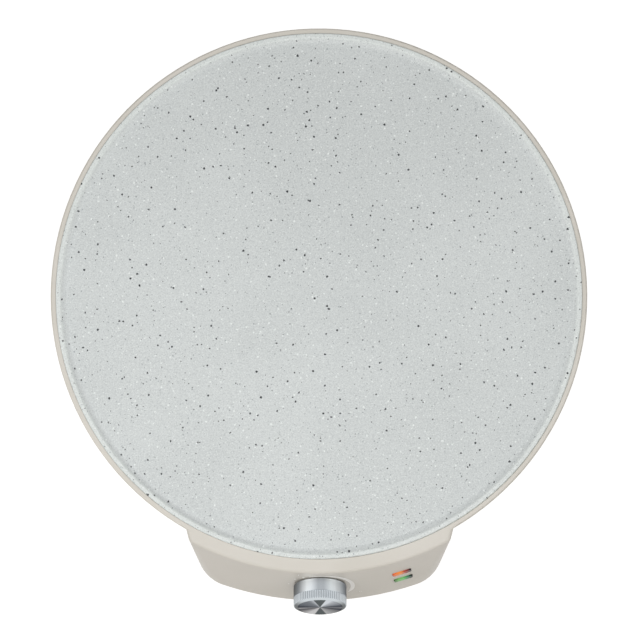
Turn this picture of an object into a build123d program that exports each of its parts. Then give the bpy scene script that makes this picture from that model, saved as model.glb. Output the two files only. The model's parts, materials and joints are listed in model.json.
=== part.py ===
from build123d import *

import os
from math import asin, cos, degrees, radians, sin, sqrt, tan

# Electric crepe maker: a speckled griddle plate in a round moulded housing, with a sloped console
# in front that carries a thermostat knob and two indicator windows.
# Millimetres, +Z up. The origin lies on the table, under the middle of the whole object's box.
# The console and its knob face -Y, and the cord leaves at the back, towards +Y.

os.makedirs("parts", exist_ok=True)

# ---------------------------------------------------------------------------------------------
# Driving dimensions
# ---------------------------------------------------------------------------------------------
# Griddle plate
plate_diameter = 320.0
overall_height = 60.5          # table to the crest of the lip
lip_width = 5.0
lip_height = 1.8
plate_thickness = 5.0

# Housing
rim_clearance = 0.15           # plate edge to housing rim
wall = 2.8
rim_width = 3.05               # top of the housing round the plate
rim_drop = 0.9                 # rim top below the lip crest
rim_round = 1.0
band_depth = 12.0              # upright band under the rim
bowl_draw = 14.2               # bowl draws in from the rim to its base
deck_thickness = 2.5
deck_drop = 22.5               # lip crest to the deck's underside
housing_foot = 13.0            # table to the housing's lower edge

# Console
ledge_depth = 5.2              # rim edge to the crease
panel_tilt = 23.0              # panel leans back from upright, degrees
console_half_width = 81.0      # where its sides leave the round rim
side_taper = 14.0              # sides close in towards the front, degrees
crease_corner_radius = 4.0
base_corner_radius = 24.0
crease_round = 2.4

# Base tray and feet
foot_height = 5.0
foot_diameter = 20.0
foot_inset = 31.0              # feet and base screws, in from the bowl's base
base_screw_inset = 11.0
foot_stem_diameter = 8.0
base_thickness = 2.5           # tray floor
tray_wall = 2.0
tray_setback = 1.6             # tray stands in from the housing's lower edge
tray_round = 1.5
base_gap = 0.3

# Knob and its control
knob_diameter = 32.4
knob_length = 13.4
knob_chamfer = 1.0             # along the knob
knob_chamfer_width = 2.5       # across its face
knob_gap = 0.6                 # knob back to panel
knob_share = 0.45              # of the panel's height, down from the crease
knob_shell = 1.5
knurl_length = 5.6
knurl_count = 72
knurl_depth = 0.35
spindle_diameter = 6.0
running_clearance = 0.05       # spindle in its neck, on the radius
neck_diameter = 10.0
control_width = 30.0
control_depth = 22.0
control_gap = 0.2              # control body to the deck's edge above it
control_fall = 17.0            # control body below the spindle

# Indicator windows
window_width = 12.0
window_height = 4.0
window_inset = 30.2            # windows' middle, in from the console's corner
orange_share = 0.42            # of the panel's height, down from the crease
green_share = 0.64
window_gap = 0.1

# Heating element
element_inset = 60.0           # element's circle, in from the plate's edge
element_diameter = 7.0
element_gap_angle = 20.0       # between its two ends, degrees
element_bend = 8.0
leg_end_height = 28.0

# Fasteners and wiring
screw_clearance = 0.1          # screw to its hole, on the radius
small_screw = 3.0
plate_screw = 4.0
plate_post_circle_radius = 70.0
lead_diameter = 2.6
lead_bend = 7.0

# Cord inlet
cord_bore_diameter = 7.2
inlet_diameter = 12.0
inlet_height = 23.0

# ---------------------------------------------------------------------------------------------
# Heights and radii that follow
# ---------------------------------------------------------------------------------------------
plate_radius = plate_diameter / 2
element_radius = plate_radius - element_inset
surface_height = overall_height - lip_height
plate_underside = surface_height - plate_thickness
rim_inner_radius = plate_radius + rim_clearance
rim_radius = rim_inner_radius + rim_width
bowl_base_radius = rim_radius - bowl_draw
rim_height = overall_height - rim_drop
band_height = rim_height - band_depth
tray_top = foot_height + base_thickness
deck_underside = overall_height - deck_drop
deck_top = deck_underside + deck_thickness
panel_height = rim_height - housing_foot
crease_radius = rim_radius + ledge_depth
console_base_radius = crease_radius + panel_height * tan(radians(panel_tilt))

lean_cos = cos(radians(panel_tilt))
lean_sin = sin(radians(panel_tilt))
panel_thickness = wall * lean_cos
knob_radius = knob_diameter / 2
knob_front = knob_gap + knob_length

# The object reaches from the knob's lower front rim to the back of the round rim, and the
# plate's axis stands off the origin so that the origin is under the middle of that depth.
knob_radius_out = crease_radius + knob_share * (console_base_radius - crease_radius)
face_reach = knob_front * lean_cos + (knob_radius - knob_chamfer_width) * lean_sin
side_reach = (knob_front - knob_chamfer) * lean_cos + knob_radius * lean_sin
front_reach = knob_radius_out + max(face_reach, side_reach)
plate_y = (front_reach - rim_radius) / 2
plate_axis = Axis((0, plate_y, 0), (0, 0, 1))
section_plane = Plane(origin=(0, plate_y, 0), x_dir=(1, 0, 0), z_dir=(0, -1, 0))

# The control body reaches up to the deck's outer edge, which stands over it
knob_height = rim_height - knob_share * panel_height
edge_above_knob = deck_underside - control_gap - knob_height
control_rise = edge_above_knob * lean_cos + (knob_radius_out - rim_radius) * lean_sin

lamp_share = (orange_share + green_share) / 2
lamp_radius = crease_radius + lamp_share * (console_base_radius - crease_radius)
window_bearing = degrees(asin((console_half_width - window_inset) / lamp_radius))


def level(height):
    """Horizontal plane at a height, centred on the plate's axis."""
    return Plane(origin=(0, plate_y, height), x_dir=(1, 0, 0), z_dir=(0, 0, 1))


def panel_plane(bearing, share):
    """Plane on the sloped panel, facing out: bearing from the front, share of height from the crease."""
    height = rim_height - share * panel_height
    radius = crease_radius + share * (console_base_radius - crease_radius)
    side = sin(radians(bearing))
    ahead = cos(radians(bearing))
    return Plane(
        origin=(radius * side, plate_y - radius * ahead, height),
        x_dir=(ahead, side, 0),
        z_dir=(side * lean_cos, -ahead * lean_cos, lean_sin),
    )


knob_plane = panel_plane(0, knob_share)


# ---------------------------------------------------------------------------------------------
# Griddle plate: cast aluminium, a flat cooking surface inside a low sloped lip
# ---------------------------------------------------------------------------------------------
rib_half_width = 8.0
groove_clearance = 0.1
element_height = plate_underside - 3.7
clamp_count = 3
clamp_reach = 12.0             # clamp screws either side of the element
clamp_thickness = 1.0
clamp_width = 10.0
clamp_seat = element_height - element_diameter / 2 - groove_clearance
clamp_turn = 90.0
clamp_screw_rise = 4.0         # screw length inside the clamp's boss
reflector_thickness = 0.6
reflector_height = deck_top + 1.5
reflector_top = reflector_height + reflector_thickness
plate_post_turn = 45.0
plate_boss_diameter = 13.0
plate_screw_rise = 8.0         # screw length inside the plate's boss
clamp_boss_diameter = 8.4
hole_end_gap = 0.5             # blind holes run on past the screw's end
lip_slope = 0.5                # share of the lip's width that slopes up from the flat
plate_edge_round = 0.7
lip_foot_round = 4.0
earth_y = 36.0                 # earth screw behind the plate's middle

with BuildPart() as hot_plate:
    with BuildSketch(section_plane):
        with BuildLine():
            Polyline(
                (0, surface_height),
                (plate_radius - lip_width, surface_height),
                (plate_radius - lip_width * (1 - lip_slope), overall_height),
                (plate_radius, overall_height),
                (plate_radius, plate_underside),
                (0, plate_underside),
                close=True,
            )
        make_face()
    revolve(axis=plate_axis)
    lip_edges = hot_plate.edges().filter_by(GeomType.CIRCLE).group_by(Axis.Z)[-1]
    fillet(lip_edges, plate_edge_round)
    surface_edges = hot_plate.edges().filter_by(GeomType.CIRCLE)
    fillet(surface_edges.filter_by_position(Axis.Z, surface_height, surface_height), lip_foot_round)
    # Rib that seats the element, its groove, and the bosses for the clamps and the plate screws
    with BuildSketch(level(element_height)):
        Circle(element_radius + rib_half_width)
        Circle(element_radius - rib_half_width, mode=Mode.SUBTRACT)
    extrude(amount=plate_underside - element_height)
    with BuildSketch(level(clamp_seat)):
        for side in (-1, 1):
            with PolarLocations(element_radius + side * clamp_reach, clamp_count, clamp_turn):
                Circle(clamp_boss_diameter / 2)
    extrude(amount=plate_underside - clamp_seat)
    with BuildSketch(level(reflector_top)):
        with PolarLocations(plate_post_circle_radius, 4, plate_post_turn):
            Circle(plate_boss_diameter / 2)
        with Locations((0, earth_y)):
            Circle(plate_boss_diameter / 2)
    extrude(amount=plate_underside - reflector_top)
    with BuildSketch(section_plane):
        with Locations((element_radius, element_height)):
            Circle(element_diameter / 2 + groove_clearance)
    revolve(axis=plate_axis, mode=Mode.SUBTRACT)
    with BuildSketch(level(reflector_top)):
        with PolarLocations(plate_post_circle_radius, 4, plate_post_turn):
            Circle(plate_screw / 2 + screw_clearance)
        with Locations((0, earth_y)):
            Circle(plate_screw / 2 + screw_clearance)
    extrude(amount=plate_screw_rise + hole_end_gap, mode=Mode.SUBTRACT)
    with BuildSketch(level(clamp_seat)):
        for side in (-1, 1):
            with PolarLocations(element_radius + side * clamp_reach, clamp_count, clamp_turn):
                Circle(small_screw / 2 + screw_clearance)
    extrude(amount=clamp_screw_rise + hole_end_gap, mode=Mode.SUBTRACT)
hot_plate.part.label = "hot_plate"
export_step(hot_plate.part, "parts/hot_plate.step")


# ---------------------------------------------------------------------------------------------
# Heating element: one tube bent round under the plate, with both ends turned down at the front
# ---------------------------------------------------------------------------------------------
gap_half = element_gap_angle / 2
with BuildPart() as heating_element:
    with BuildLine() as element_path:
        with BuildLine(level(element_height)):
            loop = CenterArc((0, 0), element_radius, -90 + gap_half, 360 - element_gap_angle)
        start = loop @ 0
        start_way = (loop % 0) * -1
        end = loop @ 1
        end_way = loop % 1
        drop = Vector(0, 0, -element_bend)
        first_knee = TangentArc(start, start + start_way * element_bend + drop, tangent=start_way)
        last_knee = TangentArc(end, end + end_way * element_bend + drop, tangent=end_way)
        first_foot = first_knee @ 1
        last_foot = last_knee @ 1
        Line(first_foot, (first_foot.X, first_foot.Y, leg_end_height))
        Line(last_foot, (last_foot.X, last_foot.Y, leg_end_height))
    with BuildSketch(Plane(origin=(first_foot.X, first_foot.Y, leg_end_height))):
        Circle(element_diameter / 2)
    sweep(path=element_path.wires()[0])
heating_element.part.label = "heating_element"
export_step(heating_element.part, "parts/heating_element.step")

leg_points = [(first_foot.X, first_foot.Y), (last_foot.X, last_foot.Y)]

# Ceramic bead round each leg where it passes the reflector and the deck, and its push-on tab
bead_diameter = 9.6
bead_gap = 0.1
bead_bottom = deck_underside - 3.0
bead_top = deck_top
tab_width = 6.3
tab_thickness = 0.8
tab_length = 10.0
tab_end_height = leg_end_height - tab_length

with BuildPart() as element_beads:
    with BuildSketch(level(bead_bottom)):
        for leg_x, leg_y in leg_points:
            with Locations((leg_x, leg_y - plate_y)):
                Circle(bead_diameter / 2)
                Circle(element_diameter / 2 + bead_gap, mode=Mode.SUBTRACT)
    extrude(amount=bead_top - bead_bottom)
element_beads.part.label = "element_beads"
export_step(element_beads.part, "parts/element_beads.step")

with BuildPart() as element_tabs:
    with BuildSketch(level(tab_end_height)):
        for leg_x, leg_y in leg_points:
            with Locations((leg_x, leg_y - plate_y)):
                Rectangle(tab_width, tab_thickness)
    extrude(amount=tab_length)
element_tabs.part.label = "element_tabs"
export_step(element_tabs.part, "parts/element_tabs.step")

# Clamp bars under the element, each held by two pan-head screws
clamp_head_height = 1.2
clamp_screw_shank = clamp_thickness + clamp_screw_rise
with BuildPart() as element_clamps:
    with BuildSketch(level(clamp_seat - clamp_thickness)):
        with PolarLocations(element_radius, clamp_count, clamp_turn):
            SlotOverall(2 * clamp_reach + clamp_width, clamp_width)
        for side in (-1, 1):
            with PolarLocations(element_radius + side * clamp_reach, clamp_count, clamp_turn):
                Circle(small_screw / 2 + screw_clearance, mode=Mode.SUBTRACT)
    extrude(amount=clamp_thickness)
element_clamps.part.label = "element_clamps"
export_step(element_clamps.part, "parts/element_clamps.step")


def pan_screws(plane, places, diameter, shank, head_height):
    """Cross-recessed pan-head screws: the head hangs below the plane, the shank rises from it."""
    with BuildPart() as screws:
        with BuildSketch(plane):
            with Locations(*places):
                Circle(diameter / 2)
        extrude(amount=shank)
        with BuildSketch(plane.offset(-head_height)):
            with Locations(*places):
                Circle(diameter * 0.95)
        extrude(amount=head_height)
        with BuildSketch(plane.offset(-head_height)):
            with Locations(*places):
                Rectangle(diameter * 1.1, diameter * 0.2)
                Rectangle(diameter * 0.2, diameter * 1.1)
        extrude(amount=head_height * 0.6, mode=Mode.SUBTRACT)
    return screws.part


def ring_places(radius, count, turn):
    """Points evenly spaced on a circle about the plate's axis."""
    angles = [radians(turn + 360 * index / count) for index in range(count)]
    return [(radius * cos(angle), radius * sin(angle)) for angle in angles]


clamp_places = []
for side in (-1, 1):
    clamp_places += ring_places(element_radius + side * clamp_reach, clamp_count, clamp_turn)
with BuildPart() as clamp_screws:
    clamp_bottom = level(clamp_seat - clamp_thickness)
    add(pan_screws(clamp_bottom, clamp_places, small_screw, clamp_screw_shank, clamp_head_height))
clamp_screws.part.label = "clamp_screws"
export_step(clamp_screws.part, "parts/clamp_screws.step")


# ---------------------------------------------------------------------------------------------
# Heat reflector: a bright sheet dish between the plate and the housing's deck
# ---------------------------------------------------------------------------------------------
reflector_gap = 4.0
reflector_lip = 4.0
bulb_entry_y = -62.0
bulb_hole_diameter = 8.0
leg_hole_gap = 0.3
leg_hole_diameter = bead_diameter + 2 * leg_hole_gap
post_places = ring_places(plate_post_circle_radius, 4, plate_post_turn)

with BuildPart() as heat_reflector:
    with BuildSketch(level(reflector_height)):
        Circle(rim_inner_radius - reflector_gap)
    extrude(amount=reflector_thickness + reflector_lip)
    with BuildSketch(level(reflector_top)):
        Circle(rim_inner_radius - reflector_gap - reflector_thickness)
    extrude(amount=reflector_lip, mode=Mode.SUBTRACT)
    with BuildSketch(level(reflector_height)):
        with Locations(*post_places, (0, earth_y)):
            Circle(plate_screw / 2 + 2 * screw_clearance)
        with Locations((0, bulb_entry_y)):
            Circle(bulb_hole_diameter / 2)
        for leg_x, leg_y in leg_points:
            with Locations((leg_x, leg_y - plate_y)):
                Circle(leg_hole_diameter / 2)
    extrude(amount=reflector_thickness, mode=Mode.SUBTRACT)
heat_reflector.part.label = "heat_reflector"
export_step(heat_reflector.part, "parts/heat_reflector.step")


# ---------------------------------------------------------------------------------------------
# Housing: one moulding with the rim round the plate, the bowl under it and the console in front
# ---------------------------------------------------------------------------------------------
bowl_curve_radius = (bowl_draw**2 + (band_height - housing_foot) ** 2) / (2 * bowl_draw)
console_root = 51.2 - rim_radius   # how far back the console's sides run inside the bowl
console_overrun = 10.0         # the sides are drawn past the front, then cut to the arc
base_boss_diameter = 9.0
base_screw_turn = 0.0
base_screw_count = 6
base_screw_circle = bowl_base_radius - base_screw_inset
base_screw_places = ring_places(base_screw_circle, base_screw_count, base_screw_turn)
base_screw_shank = 14.0
plate_post_diameter = 14.0
inlet_pad_diameter = 17.0
inlet_pad_face = rim_radius - 1.4
inlet_plane = Plane(
    origin=(0, plate_y + inlet_pad_face, inlet_height), x_dir=(-1, 0, 0), z_dir=(0, 1, 0)
)
inlet_gap = 0.1
neck_gap = 0.15
window_round = 1.2
window_spacing = (green_share - orange_share) * panel_height / lean_cos
lamp_plane = panel_plane(window_bearing, lamp_share)
window_places = [(0, window_spacing / 2), (0, -window_spacing / 2)]
lamp_boss_diameter = 6.0
lamp_boss_depth = 7.0
lamp_boss_root = 1.3
lamp_screw = 2.2
lamp_screw_rise = 3.5          # screw length inside the lamp boss
panel_cut = 8.0                # cutters reach this far in from the panel
panel_cut_start = 2.0
lamp_screw_places = [(-15.0, 0), (15.0, 0)]


def bowl_radius(height):
    """Outside radius of the bowl at a height below its upright band."""
    return rim_radius - bowl_curve_radius + sqrt(bowl_curve_radius**2 - (band_height - height) ** 2)


def bowl(inset):
    """Round body drawn in by an inset: an upright band, then a curve in to the base."""
    with BuildPart() as body:
        with BuildSketch(section_plane):
            with BuildLine():
                crown = Line((0, rim_height), (rim_radius - inset, rim_height))
                band = Line(crown @ 1, (rim_radius - inset, band_height))
                side = TangentArc(
                    band @ 1, (bowl_base_radius - inset, housing_foot), tangent=(0, -1)
                )
                Polyline(side @ 1, (0, housing_foot), (0, rim_height))
            make_face()
        revolve(axis=plate_axis)
    return body.part


def console_outline(height, front_radius, corner_radius, inset):
    """Plan of the console at one height: two sides that close in, and an arc about the plate."""
    leave_y = -sqrt(rim_radius**2 - console_half_width**2)
    narrowing = tan(radians(side_taper))
    front_y = -(front_radius + console_overrun)
    side_inset = inset / cos(radians(side_taper))
    back_x = console_half_width - side_inset + (console_root - leave_y) * narrowing
    front_x = console_half_width - side_inset + (front_y - leave_y) * narrowing
    with BuildSketch(level(height)) as outline:
        Circle(front_radius - inset)
        Polygon(
            (-back_x, console_root),
            (back_x, console_root),
            (front_x, front_y),
            (-front_x, front_y),
            align=None,
            mode=Mode.INTERSECT,
        )
        fillet(outline.vertices().group_by(Axis.Y)[0], corner_radius - inset)
    return outline.sketch


def console(inset, top):
    """Console block from the base to a height, drawn in by an inset."""
    top_radius = crease_radius + (rim_height - top) * tan(radians(panel_tilt))
    with BuildPart() as block:
        loft(
            sections=[
                console_outline(housing_foot, console_base_radius, base_corner_radius, inset),
                console_outline(top, top_radius, crease_corner_radius, inset),
            ],
            ruled=True,
        )
    return block.part


inlet_collar_length = 2.0
inlet_collar_step = 0.6
inlet_collar_diameter = inlet_diameter + 2 * inlet_collar_step
inlet_wall_inside = bowl_radius(inlet_height - inlet_collar_diameter / 2) - wall
inlet_hole_depth = inlet_pad_face - inlet_wall_inside + base_gap

with BuildPart() as console_body:
    add(console(0, rim_height))
    crease_edges = console_body.faces().sort_by(Axis.Z)[-1].edges().sort_by(Axis.Y)[:-1]
    fillet(crease_edges, crease_round)

with BuildPart() as bowl_cavity:
    add(bowl(wall))
    split(bisect_by=level(deck_underside), keep=Keep.BOTTOM)

with BuildPart() as console_cavity:
    add(console(wall, rim_height - wall))
    with BuildSketch(level(deck_underside)):
        Circle(rim_radius)
    extrude(amount=panel_height, mode=Mode.SUBTRACT)

with BuildPart() as housing:
    add(bowl(0))
    fillet(housing.edges().filter_by(GeomType.CIRCLE).group_by(Axis.Z)[-1], rim_round)
    add(console_body.part)
    # Flat pad for the cord inlet
    with BuildSketch(inlet_plane):
        Circle(inlet_pad_diameter / 2)
    extrude(amount=-2 * wall)
    # Plate recess, the room under the deck, and the room in the console
    with BuildSketch(level(deck_top)):
        Circle(rim_inner_radius)
    extrude(amount=rim_height, mode=Mode.SUBTRACT)
    add(bowl_cavity.part, mode=Mode.SUBTRACT)
    add(console_cavity.part, mode=Mode.SUBTRACT)
    # Posts under the reflector, bosses for the base screws, bosses for the lamp holder
    with BuildSketch(level(deck_top)):
        with Locations(*post_places, (0, earth_y)):
            Circle(plate_post_diameter / 2)
    extrude(amount=reflector_height - deck_top)
    with BuildSketch(level(tray_top)):
        with Locations(*base_screw_places):
            Circle(base_boss_diameter / 2)
    extrude(amount=deck_underside - tray_top)
    with BuildSketch(lamp_plane.offset(-lamp_boss_depth)):
        with Locations(*lamp_screw_places):
            Circle(lamp_boss_diameter / 2)
    extrude(amount=lamp_boss_depth - lamp_boss_root)
    # Holes
    with BuildSketch(level(deck_underside)):
        with Locations(*post_places, (0, earth_y)):
            Circle(plate_screw / 2 + 2 * screw_clearance)
        with Locations((0, bulb_entry_y)):
            Circle(bulb_hole_diameter / 2)
        for leg_x, leg_y in leg_points:
            with Locations((leg_x, leg_y - plate_y)):
                Circle(leg_hole_diameter / 2)
    extrude(amount=reflector_height - deck_underside, mode=Mode.SUBTRACT)
    with BuildSketch(level(tray_top)):
        with Locations(*base_screw_places):
            Circle(small_screw / 2 + screw_clearance)
    extrude(amount=base_screw_shank, mode=Mode.SUBTRACT)
    with BuildSketch(lamp_plane.offset(-lamp_boss_depth)):
        with Locations(*lamp_screw_places):
            Circle(lamp_screw / 2 + screw_clearance)
    extrude(amount=lamp_screw_rise + hole_end_gap, mode=Mode.SUBTRACT)
    with BuildSketch(lamp_plane.offset(panel_cut_start)):
        with Locations(*window_places):
            RectangleRounded(
                window_width + 2 * window_gap, window_height + 2 * window_gap, window_round
            )
    extrude(amount=-panel_cut, mode=Mode.SUBTRACT)
    with BuildSketch(knob_plane.offset(panel_cut_start)):
        Circle(neck_diameter / 2 + neck_gap)
    extrude(amount=-panel_cut, mode=Mode.SUBTRACT)
    with BuildSketch(inlet_plane):
        Circle(inlet_diameter / 2 + inlet_gap)
    extrude(amount=-inlet_hole_depth, mode=Mode.SUBTRACT)
housing.part.label = "housing"
export_step(housing.part, "parts/housing.step")

# Cord inlet: a soft bush with an outer flange and an inner collar that holds it in the wall
inlet_flange_diameter = 15.0
inlet_flange_thickness = 1.2
inlet_barrel_length = inlet_hole_depth + inlet_collar_length
with BuildPart() as cord_inlet_bush:
    with BuildSketch(inlet_plane.offset(-inlet_barrel_length)):
        Circle(inlet_diameter / 2)
    extrude(amount=inlet_barrel_length)
    with BuildSketch(inlet_plane.offset(-inlet_barrel_length)):
        Circle(inlet_collar_diameter / 2)
    extrude(amount=inlet_collar_length)
    with BuildSketch(inlet_plane):
        Circle(inlet_flange_diameter / 2)
    extrude(amount=inlet_flange_thickness)
    fillet(cord_inlet_bush.edges().sort_by(Axis.Y)[-1], inlet_flange_thickness / 2)
    with BuildSketch(inlet_plane.offset(inlet_flange_thickness)):
        Circle(cord_bore_diameter / 2)
    extrude(amount=-inlet_flange_thickness - inlet_barrel_length, mode=Mode.SUBTRACT)
cord_inlet_bush.part.label = "cord_inlet_bush"
export_step(cord_inlet_bush.part, "parts/cord_inlet_bush.step")

# Screws that pull the plate down on the reflector and the deck's posts
plate_screw_shank = reflector_top - deck_underside + plate_screw_rise
plate_head_height = 2.4
with BuildPart() as plate_screws:
    add(pan_screws(level(deck_underside), post_places, plate_screw, plate_screw_shank, plate_head_height))
plate_screws.part.label = "plate_screws"
export_step(plate_screws.part, "parts/plate_screws.step")

# Earth tag clamped under the deck by a screw that reaches the plate
earth_tag_thickness = 0.8
earth_tag_length = 12.0
earth_tag_width = 4.0
earth_ring_diameter = 9.2
with BuildPart() as earth_tag:
    with BuildSketch(level(deck_underside - earth_tag_thickness)):
        with Locations((0, earth_y)):
            Circle(earth_ring_diameter / 2)
        with Locations((0, earth_y + earth_tag_length / 2)):
            Rectangle(earth_tag_width, earth_tag_length)
        with Locations((0, earth_y)):
            Circle(plate_screw / 2 + screw_clearance, mode=Mode.SUBTRACT)
    extrude(amount=earth_tag_thickness)
earth_tag.part.label = "earth_tag"
export_step(earth_tag.part, "parts/earth_tag.step")

with BuildPart() as earth_screw:
    tag_plane = level(deck_underside - earth_tag_thickness)
    add(pan_screws(tag_plane, [(0, earth_y)], plate_screw, plate_screw_shank, plate_head_height))
earth_screw.part.label = "earth_screw"
export_step(earth_screw.part, "parts/earth_screw.step")


# ---------------------------------------------------------------------------------------------
# Base: a vented cover inside the housing's foot, its screws and four soft feet
# ---------------------------------------------------------------------------------------------
foot_turn = 45.0
foot_head_diameter = 9.6
foot_head_height = 1.6
foot_hole_gap = 0.1
foot_round = 1.2
base_head_height = 1.8
foot_places = ring_places(bowl_base_radius - foot_inset, 4, foot_turn)
vent_count = 20
vent_circle_radius = 62.0
vent_length = 22.0
vent_width = 3.2
tray_lip_height = 3.0          # locating lip inside the housing
lip_root = 1.0                 # lip starts this far down the tray's own wall


def base_outline(height, nose_radius, inset):
    """Whole plan of the base at a height: the bowl's circle joined to the console's nose."""
    with BuildSketch(level(height)) as outline:
        Circle(bowl_base_radius - inset)
    return outline.sketch + console_outline(height, nose_radius, base_corner_radius, inset)


lip_nose_radius = console_base_radius - tray_lip_height * tan(radians(panel_tilt))


with BuildPart() as base_tray:
    tray_outline = base_outline(foot_height, console_base_radius, tray_setback)
    extrude(tray_outline, amount=housing_foot - foot_height)
    fillet(base_tray.edges().group_by(Axis.Z)[0], tray_round)
    lip_outline = base_outline(housing_foot - lip_root, lip_nose_radius, wall + base_gap)
    extrude(lip_outline, amount=lip_root + tray_lip_height)
    tray_inside = base_outline(tray_top, lip_nose_radius, wall + base_gap + tray_wall)
    extrude(tray_inside, amount=housing_foot + tray_lip_height, mode=Mode.SUBTRACT)
    with BuildSketch(level(foot_height)):
        with PolarLocations(vent_circle_radius, vent_count):
            SlotOverall(vent_length, vent_width)
        with Locations(*foot_places):
            Circle(foot_stem_diameter / 2 + foot_hole_gap)
        with Locations(*base_screw_places):
            Circle(small_screw / 2 + screw_clearance)
    extrude(amount=base_thickness, mode=Mode.SUBTRACT)
base_tray.part.label = "base_tray"
export_step(base_tray.part, "parts/base_tray.step")

with BuildPart() as base_screws:
    add(pan_screws(level(foot_height), base_screw_places, small_screw, base_screw_shank, base_head_height))
base_screws.part.label = "base_screws"
export_step(base_screws.part, "parts/base_screws.step")

with BuildPart() as feet:
    with BuildSketch(level(0)):
        with Locations(*foot_places):
            Circle(foot_diameter / 2)
    extrude(amount=foot_height)
    fillet(feet.edges().group_by(Axis.Z)[0], foot_round)
    with BuildSketch(level(foot_height)):
        with Locations(*foot_places):
            Circle(foot_stem_diameter / 2)
    extrude(amount=base_thickness)
    with BuildSketch(level(tray_top)):
        with Locations(*foot_places):
            Circle(foot_head_diameter / 2)
    extrude(amount=foot_head_height)
feet.part.label = "feet"
export_step(feet.part, "parts/feet.step")


# ---------------------------------------------------------------------------------------------
# Thermostat: a capillary control behind the panel, held by its threaded neck and a nut
# ---------------------------------------------------------------------------------------------
neck_shoulder_gap = 0.4        # the panel is hollow behind, so the shoulder's rim meets it first
nut_gap = 0.1
neck_shoulder_diameter = 16.0
neck_shoulder_length = 1.8
neck_reach = 3.6               # neck stands out of the panel
nut_across_flats = 14.0
nut_thickness = 2.4
control_front = -(panel_thickness + neck_shoulder_gap + neck_shoulder_length)
control_back = control_front - control_depth
spindle_bore_depth = 8.0
spindle_bore_gap = 0.2
control_corner = 1.5
control_tab_x = 8.0
control_tab_y = -3.0
control_tab_length = 7.5
capillary_diameter = 2.0
capillary_y = 2.0

with BuildPart() as thermostat_body:
    with BuildSketch(knob_plane.offset(control_back)):
        with Locations((0, (control_rise - control_fall) / 2)):
            RectangleRounded(control_width, control_rise + control_fall, control_corner)
    extrude(amount=control_depth)
    with BuildSketch(knob_plane.offset(control_front)):
        Circle(spindle_diameter / 2 + spindle_bore_gap)
    extrude(amount=-spindle_bore_depth, mode=Mode.SUBTRACT)
thermostat_body.part.label = "thermostat_body"
export_step(thermostat_body.part, "parts/thermostat_body.step")

with BuildPart() as thermostat_neck:
    with BuildSketch(knob_plane.offset(control_front)):
        Circle(neck_shoulder_diameter / 2)
    extrude(amount=neck_shoulder_length)
    with BuildSketch(knob_plane.offset(control_front)):
        Circle(neck_diameter / 2)
    extrude(amount=neck_reach - control_front)
    with BuildSketch(knob_plane.offset(control_front)):
        Circle(spindle_diameter / 2 + running_clearance)
    extrude(amount=neck_reach - control_front, mode=Mode.SUBTRACT)
thermostat_neck.part.label = "thermostat_neck"
export_step(thermostat_neck.part, "parts/thermostat_neck.step")

with BuildPart() as thermostat_nut:
    with BuildSketch(knob_plane.offset(nut_gap)):
        RegularPolygon(nut_across_flats / 2, 6, major_radius=False)
        Circle(neck_diameter / 2 + nut_gap, mode=Mode.SUBTRACT)
    extrude(amount=nut_thickness)
thermostat_nut.part.label = "thermostat_nut"
export_step(thermostat_nut.part, "parts/thermostat_nut.step")

with BuildPart() as thermostat_tabs:
    with BuildSketch(knob_plane.offset(control_back)):
        with Locations((-control_tab_x, control_tab_y), (control_tab_x, control_tab_y)):
            Rectangle(tab_width, tab_thickness)
    extrude(amount=-control_tab_length)
thermostat_tabs.part.label = "thermostat_tabs"
export_step(thermostat_tabs.part, "parts/thermostat_tabs.step")


def point_on(plane, x, y, z):
    """Point given in a plane's own coordinates, in the object's coordinates."""
    return plane.from_local_coords(Vector(x, y, z))


def about_axis(x, y, z):
    """Point given from the plate's axis."""
    return Vector(x, plate_y + y, z)


def run(points, diameter, bend):
    """Round tube along straight runs joined by tangent bends."""
    with BuildPart() as tube:
        with BuildLine() as path:
            FilletPolyline(*points, radius=bend)
        with BuildSketch(Plane(origin=points[0], z_dir=points[1] - points[0])):
            Circle(diameter / 2)
        sweep(path=path.wires()[0])
    return tube.part


# Sensor bulb under the plate, its two straps, and the capillary from the thermostat to the bulb
bulb_diameter = 6.0
bulb_length = 58.0
bulb_gap = 0.3
strap_thickness = 0.8
strap_width = 6.0
bulb_height = plate_underside - bulb_gap - bulb_diameter / 2
bulb_start_y = bulb_entry_y + 14.0
bulb_plane = Plane(
    origin=(0, plate_y + bulb_start_y, bulb_height), x_dir=(-1, 0, 0), z_dir=(0, 1, 0)
)
capillary_height = 24.0
capillary_lead_out = 12.0      # straight run behind the control
capillary_run_back = 34.0      # level run in front of the bulb's hole
bulb_round = 1.2
with BuildPart() as sensor_bulb:
    with BuildSketch(bulb_plane):
        Circle(bulb_diameter / 2)
    extrude(amount=bulb_length)
    fillet(sensor_bulb.edges(), bulb_round)
sensor_bulb.part.label = "sensor_bulb"
export_step(sensor_bulb.part, "parts/sensor_bulb.step")

with BuildPart() as capillary_tube:
    capillary_points = [
        point_on(knob_plane, 0, capillary_y, control_back),
        point_on(knob_plane, 0, capillary_y, control_back - capillary_lead_out),
        about_axis(0, bulb_entry_y - capillary_run_back, capillary_height),
        about_axis(0, bulb_entry_y, capillary_height),
        about_axis(0, bulb_entry_y, bulb_height),
        about_axis(0, bulb_start_y, bulb_height),
    ]
    add(run(capillary_points, capillary_diameter, lead_bend))
capillary_tube.part.label = "capillary_tube"
export_step(capillary_tube.part, "parts/capillary_tube.step")

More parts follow.
